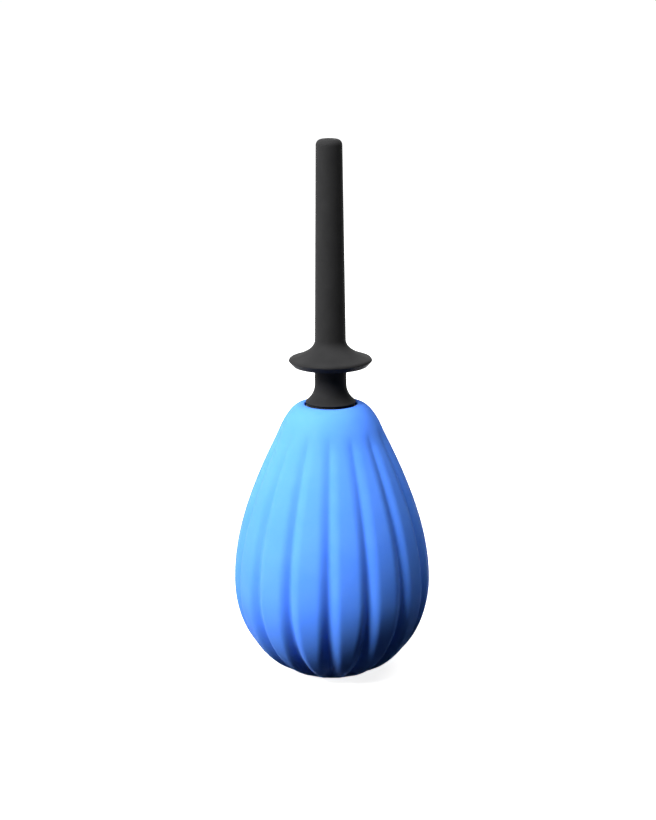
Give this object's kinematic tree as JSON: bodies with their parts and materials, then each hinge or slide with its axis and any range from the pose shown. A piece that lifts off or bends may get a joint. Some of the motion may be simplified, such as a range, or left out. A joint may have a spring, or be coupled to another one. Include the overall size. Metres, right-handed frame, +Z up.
{
  "type": "bulb syringe",
  "caption": "Hand-held bulb syringe: pleated egg-shaped soft bulb on a flat base, with a screw-in straight black nozzle, guard flange and flared foot.",
  "frame": {"origin": "centre of the bulb's flat base, on the nozzle's axis", "axes": "+Z up along the bulb and nozzle axis, -Y towards the pictured front, where one pleat's groove lies"},
  "size_m": [0.0704, 0.0701, 0.1934],
  "materials": {
    "bulb_soft": "soft blue elastomer, satin",
    "bushing_plastic": "moulded dark grey nylon",
    "seal_rubber": "matt black rubber",
    "nozzle_plastic": "satin black moulded plastic"
  },
  "bodies": {
    "bulb": {"bulb": "bulb_soft"},
    "neck": {"neck_bushing": "bushing_plastic"},
    "seal": {"seal_ring": "seal_rubber"},
    "nozzle": {"nozzle": "nozzle_plastic"}
  },
  "joints": [
    {"name": "bulb_squeeze", "type": "slide", "parent": "bulb", "child": "neck", "axis": [0, 0, -1], "range_m": [0, 0.025], "stiffness_N_per_m": 450, "springref_m": -0.001, "deforming": ["bulb"]},
    {"name": "nozzle_lift", "type": "slide", "parent": "neck", "child": "seal", "axis": [0, 0, 1], "range_m": [0, 0.009]},
    {"name": "nozzle_turn", "type": "hinge", "parent": "seal", "child": "nozzle", "pos_m": [0, 0, 0.0989], "axis": [0, 0, 1], "range_deg": [0, 1080]}
  ],
  "couplings": [
    {"joint": "nozzle_lift", "follows": "nozzle_turn", "m_per_rad": 0.00047746}
  ]
}
